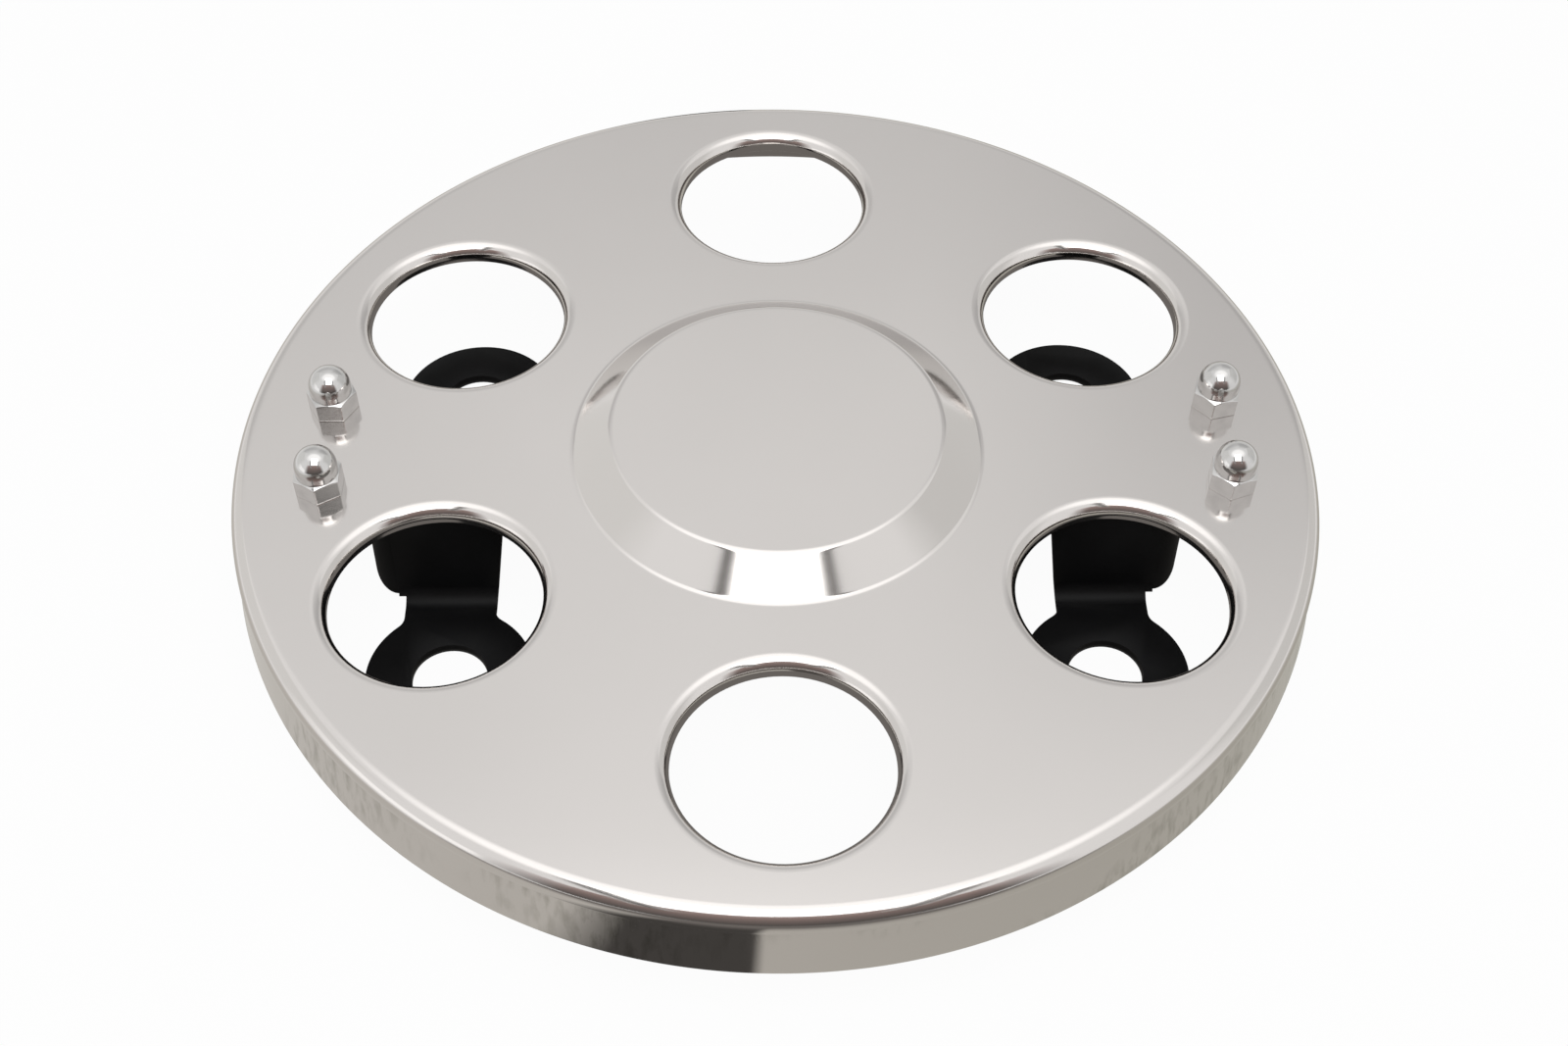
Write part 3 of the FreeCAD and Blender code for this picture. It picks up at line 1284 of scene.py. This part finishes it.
def lying(width: float, front: float, back: float, height: float) -> list[Vector]:
    """Corners of a level sheet between two places on the Y axis."""
    half = width / 2
    return [Vector((x, y, height)) for x, y in ((-half, front), (half, front), (half, back), (-half, back))]


def disc_outline(radius: float, height: float, steps: int = 64) -> list[Vector]:
    """Corners of a level round sheet about the Z axis."""
    turns = [math.tau * step / steps for step in range(steps)]
    return [Vector((radius * math.cos(turn), radius * math.sin(turn), height)) for turn in turns]


@dataclass(frozen=True)
class Card:
    """Sheet that only the metal mirrors, shaded from one colour to another along one axis."""

    name: str
    corners: Sequence[Vector]
    first: Colour
    second: Colour
    axis: str = "Z"
    start: float = 0.0
    end: float = 1.0

    def colour(self, coords: Signal) -> Signal:
        """Colour of the card.

        Args:
            coords: place on the card, in metres.

        Returns:
            The colour there.
        """
        return blend(coords.part(self.axis).ramp(self.start, self.end), self.first, self.second)

    def build(self) -> None:
        """Hang the card in the studio."""
        material, graph = new_material(self.name)
        sockets = {"Color": self.colour(graph.coords()), "Strength": 1.0}
        graph.surface(graph.add("ShaderNodeEmission", None, sockets))
        card = stage_sheet(self.name, self.corners, material)
        card.visible_camera = False
        card.visible_diffuse = False
        card.visible_shadow = False
        card.visible_transmission = False
        log.info("card %s hung", self.name)


@dataclass(frozen=True)
class BandedCard(Card):
    """Shaded card with a soft-edged band of another colour across it."""

    band_colour: Colour = BLACK
    band: Span = (0.0, 1.0)
    soft: Span = (0.01, 0.01)

    def colour(self, coords: Signal) -> Signal:
        """Colour of the card.

        Args:
            coords: place on the card, in metres.

        Returns:
            The colour there.
        """
        along = coords.part(self.axis)
        rise = along.ramp(self.band[0] - self.soft[0], self.band[0])
        fall = along.ramp(self.band[1], self.band[1] + self.soft[1])
        return blend(rise * (1 - fall), super().colour(coords), self.band_colour)


@dataclass(frozen=True)
class Table(BandedCard):
    """Table top around the disc, grey near it as painted shade, with a painted shadow in front of the viewer
    and white at both sides.
    """

    front_shadow_colour: Colour = (0.2, 0.185, 0.175)
    front_shadow_fade: Span = (0.2, 0.29)
    side_fade: Span = (0.22, 0.42)

    def colour(self, coords: Signal) -> Signal:
        """Colour of the table, with its painted shade and painted shadow.

        Args:
            coords: place on the table, in metres.

        Returns:
            The colour there.
        """
        across = coords.part("X")
        # Painted shadow: darker in front of the viewer, where the viewer's shadow falls on the table.
        front = (0 - across.output("Y")).ramp(*self.front_shadow_fade)
        shaded = blend(front, super().colour(coords), self.front_shadow_colour)
        # The painted shade near the disc fades to white at both sides.
        return blend(across.size().ramp(*self.side_fade), shaded, WHITE)


@dataclass(frozen=True)
class Ceiling(Card):
    """Bright oval overhead that fades into the white surroundings."""

    half_width: float = 1.0
    half_depth: float = 1.0

    def colour(self, coords: Signal) -> Signal:
        """Colour of the ceiling.

        Args:
            coords: place on the ceiling, in metres.

        Returns:
            The colour there.
        """
        across = coords.part("X")
        distance = (across / self.half_width).diagonal(across.output("Y") / self.half_depth)
        return blend(distance.ramp(self.start, self.end), self.first, self.second)


@dataclass(frozen=True)
class Room(Card):
    """Dim room behind the viewer, which fades into the white surroundings at both sides."""

    fade: Span = (0.9, 1.5)

    def colour(self, coords: Signal) -> Signal:
        """Colour of the room, by the place in it."""
        return blend(coords.part("X").size().ramp(*self.fade), super().colour(coords), WHITE)


@dataclass(frozen=True)
class BackWall(Card):
    """Pale wall behind the disc, darker towards the floor and to both sides."""

    middle: float = 0.66
    middle_height: float = 2.57
    right_loss: float = 0.2
    right_fade: Span = (0.34, 0.92)
    left_loss: float = 0.055
    left_fade: Span = (0.38, 0.82)

    def colour(self, coords: Signal) -> Signal:
        """Colour of the wall.

        Args:
            coords: place on the wall, in metres.

        Returns:
            The colour there.
        """
        across = coords.part("X")
        up = across.output("Z")
        above = up.ramp(self.middle_height, self.end)
        level = up.ramp(self.start, self.middle_height) * self.middle + above * (1 - self.middle)
        right = 1 - across.ramp(*self.right_fade) * (1 - above) * self.right_loss
        left = 1 - (0 - across).ramp(*self.left_fade) * self.left_loss
        return blend(right * left, BLACK, blend(level, self.first, self.second))


@dataclass
class Studio:
    """Pale floor, white surroundings, one large soft light and the cards that the metal mirrors."""

    floor_size: float = 6.0
    floor_colour: Colour = (0.86, 0.86, 0.86)
    white_share: float = 0.96
    fill: float = 0.6
    soft_length: float = 0.75
    soft_width: float = 0.72
    soft_distance: float = 1.2
    soft_tilt: float = math.radians(22)
    soft_level: float = 2.1
    bar_near: float = 0.36
    bar_far: float = 0.52
    bar_soft: float = 0.055
    bar_back: float = 0.1
    bar_colour: Colour = (0.12, 0.115, 0.11)
    ceiling_height: float = 1.6
    ceiling_half_width: float = 1.25
    ceiling_half_depth: float = 0.82
    ceiling_core: float = 0.56
    ceiling_colour: Colour = (1.5, 1.5, 1.5)
    wall_depth: float = 2.4
    wall_width: float = 5.0
    wall_height: float = 4.2
    wall_start: float = 1.6
    wall_low: Colour = (0.72, 0.72, 0.72)
    low_height: float = 0.8
    low_depth: float = 2.32
    low_fade: Span = (-1.5, 1.5)
    room_depth: float = -1.3
    room_width: float = 3.0
    room_height: float = 1.5
    room_low: Colour = (0.10, 0.095, 0.09)
    room_high: Colour = (0.42, 0.31, 0.29)
    side_depth: float = 2.5
    side_fade: Span = (-0.7, 0.1)
    left_low_place: float = -2.4
    left_front_colour: Colour = (1.35, 1.35, 1.35)
    left_colour: Colour = (0.88, 0.88, 0.87)
    right_colour: Colour = (0.78, 0.78, 0.77)
    # Painted shade: a dark disc just above the table under the cover, where the cover shades the table, seen
    # only in the metal.
    shade_radius: float = 0.158
    table_under: Colour = (0.19, 0.178, 0.168)
    # Painted shade: the table is grey near the disc, where the disc shades it, and fades to white further
    # out.
    table_shade_left: Colour = (0.61, 0.59, 0.555)
    table_shade_right: Colour = (0.50, 0.485, 0.44)
    table_fade: Span = (-0.12, 0.12)
    table_dark: Colour = (0.07, 0.066, 0.062)
    dark_band: Span = (-0.054, -0.0105)
    dark_soft: Span = (0.022, 0.004)
    lift: float = 0.0005

    def seen_white(self, graph: Graph) -> Signal:
        """1 for the rays that see the white surroundings: those of the camera, of gloss and of glass."""
        ray = graph.add("ShaderNodeLightPath", None, None, "Is Camera Ray")
        return ray.larger(ray.output("Is Glossy Ray")).larger(ray.output("Is Transmission Ray"))

    def surroundings(self) -> None:
        """White world that fills the shadows softly."""
        world = bpy.data.worlds.new("surroundings")
        world.use_nodes = True
        bpy.context.scene.world = world
        graph = Graph(world.node_tree)
        level = self.fill + (1 - self.fill) * self.seen_white(graph)
        light = graph.add("ShaderNodeBackground", None, {"Color": opaque(WHITE), "Strength": level})
        graph.add("ShaderNodeOutputWorld", None, {"Surface": light})

    def floor(self) -> None:
        """White floor that keeps a soft shadow and can be looked through from below."""
        material, graph = new_material("floor")
        paper = graph.add("ShaderNodeBsdfDiffuse", None, {"Color": opaque(self.floor_colour)})
        white = graph.add("ShaderNodeEmission", None, {"Color": opaque(WHITE), "Strength": 1.0})
        share = self.seen_white(graph) * self.white_share
        top = graph.add("ShaderNodeMixShader", None, {0: share, 1: paper, 2: white})
        below = graph.add("ShaderNodeNewGeometry", None, None, "Backfacing")
        clear = graph.add("ShaderNodeBsdfTransparent")
        graph.surface(graph.add("ShaderNodeMixShader", None, {0: below, 1: top, 2: clear}))
        half = self.floor_size / 2
        stage_sheet("floor", lying(self.floor_size, -half, half, 0.0), material)

    def soft_frame(self) -> Matrix:
        """Place of the soft light, which faces the disc from above the viewer."""
        tilt = Matrix.Rotation(self.soft_tilt, 4, "X")
        return tilt @ Matrix.Translation((0.0, 0.0, self.soft_distance))

    def soft_light(self) -> None:
        """Large soft light above the disc, tilted towards the viewer."""
        lamp = bpy.data.lights.new("soft_light", "AREA")
        lamp.shape = "RECTANGLE"
        lamp.size = self.soft_width
        lamp.size_y = self.soft_length
        lamp.energy = self.soft_level * math.pi * self.soft_width * self.soft_length
        light = bpy.data.objects.new("soft_light", lamp)
        light.matrix_world = self.soft_frame()
        light.visible_camera = False
        bpy.context.scene.collection.objects.link(light)

    def bar(self, name: str, side: int) -> Card:
        """Dark bar beside the light.

        Args:
            name: name of the bar.
            side: 1 on the right, -1 on the left.

        Returns:
            The card, in the light's plane.
        """
        low, high = sorted((side * self.bar_near, side * self.bar_far))
        sheet = lying(high - low, -self.soft_length, self.bar_back, 0.0)
        shift = self.soft_frame() @ Matrix.Translation(((low + high) / 2, 0.0, 0.0))
        return BandedCard(
            name,
            [shift @ corner for corner in sheet],
            WHITE,
            WHITE,
            "X",
            band_colour=self.bar_colour,
            band=(low + self.bar_soft, high - self.bar_soft),
            soft=(self.bar_soft, self.bar_soft),
        )

    def side_wall(self, name: str, place: float, height: float, front: Colour, back: Colour) -> Card:
        """Wall beside the disc.

        Args:
            name: name of the wall.
            place: where it stands on the X axis.
            height: its height.
            front: its colour near the viewer.
            back: its colour beside and behind the disc.

        Returns:
            The card.
        """
        turned = Matrix.Rotation(math.pi / 2, 3, "Z")
        corners = [turned @ corner for corner in upright(2 * self.side_depth, -place, height)]
        return Card(name, corners, front, back, "Y", *self.side_fade)

    def ceiling(self) -> Card:
        """Bright oval above the disc.

        Returns:
            The card.
        """
        oval = Matrix.Diagonal((self.ceiling_half_width, self.ceiling_half_depth, 1.0))
        return Ceiling(
            "ceiling",
            [oval @ corner for corner in disc_outline(1.0, self.ceiling_height)],
            self.ceiling_colour,
            WHITE,
            start=self.ceiling_core,
            half_width=self.ceiling_half_width,
            half_depth=self.ceiling_half_depth,
        )

    def table(self) -> Card:
        """Table top around the disc, grey near it as painted shade.

        Returns:
            The card.
        """
        return Table(
            "table",
            lying(self.room_width, self.room_depth, -self.room_depth, self.lift),
            self.table_shade_left,
            self.table_shade_right,
            "X",
            *self.table_fade,
            band_colour=self.table_dark,
            band=self.dark_band,
            soft=self.dark_soft,
        )

    def cards(self) -> list[Card]:
        """Everything that the metal mirrors besides the light and the white surroundings.

        Returns:
            The cards, in the order in which they are hung.
        """
        shade_disc = disc_outline(self.shade_radius, 2 * self.lift)
        wall = upright(self.wall_width, self.wall_depth, self.wall_height)
        low_wall = upright(self.wall_width, self.low_depth, self.low_height)
        room = upright(self.room_width, self.room_depth, self.room_height)
        left_low = (self.left_low_place, self.low_height, self.left_front_colour, self.left_colour)
        return [
            self.bar("right_bar", 1),
            self.bar("left_bar", -1),
            self.ceiling(),
            self.side_wall("left_wall", -self.side_depth, self.side_depth, WHITE, self.left_colour),
            self.side_wall("right_wall", self.side_depth, self.side_depth, WHITE, self.right_colour),
            self.side_wall("left_low", *left_low),
            BackWall("back_wall", wall, self.wall_low, WHITE, "Z", self.wall_start, self.wall_height),
            Card("low_wall", low_wall, self.left_colour, self.right_colour, "X", *self.low_fade),
            Room("dark_room", room, self.room_low, self.room_high, "Z", 0.0, self.room_height),
            # Painted shade under the disc.
            Card("table_under", shade_disc, self.table_under, self.table_under),
            self.table(),
        ]

    def build(self) -> None:
        """Set up the stage."""
        bpy.context.scene.view_settings.view_transform = "Standard"
        self.surroundings()
        self.floor()
        self.soft_light()
        for card in self.cards():
            card.build()


@dataclass(frozen=True)
class PhotoCamera:
    """Camera where the photograph was taken from."""

    place: tuple[float, float, float] = (-0.010579, -0.406357, 0.485320)
    swing: float = -0.0321509
    dip: float = 0.8679570
    roll: float = 0.0191324
    focal_pixels: float = 2070.521
    picture_width: int = 1600
    sensor_width: float = 36.0
    nearest: float = 0.01

    def build(self) -> None:
        """Make it the scene's camera."""
        level = Vector((math.cos(self.swing), math.sin(self.swing), 0.0))
        flat = Vector((-math.sin(self.swing), math.cos(self.swing), 0.0))
        ahead = flat * math.cos(self.dip) - Vector((0.0, 0.0, math.sin(self.dip)))
        rise = level.cross(ahead)
        right = level * math.cos(self.roll) + rise * math.sin(self.roll)
        up = rise * math.cos(self.roll) - level * math.sin(self.roll)
        lens = bpy.data.cameras.new("photo_camera")
        lens.sensor_width = self.sensor_width
        lens.lens = self.focal_pixels / self.picture_width * self.sensor_width
        lens.clip_start = self.nearest
        camera = bpy.data.objects.new("photo_camera", lens)
        turned = Matrix((right, up, -ahead)).transposed().to_4x4()
        camera.matrix_world = Matrix.Translation(self.place) @ turned
        bpy.context.scene.collection.objects.link(camera)
        bpy.context.scene.camera = camera


def main() -> None:
    """Build the pieces in order, then the stage and the camera."""
    logging.basicConfig(level=logging.INFO, format="%(name)s: %(message)s")
    shop = Workshop()
    places = BoltPattern().places()
    CoverDisc(places).build(shop)
    AcornNuts(places).build(shop)
    Brackets().build(shop)
    shop.dress("bracket_bolts", Slot.ZINC_STEEL)
    Studio().build()
    PhotoCamera().build()


if __name__ == "__main__":
    main()
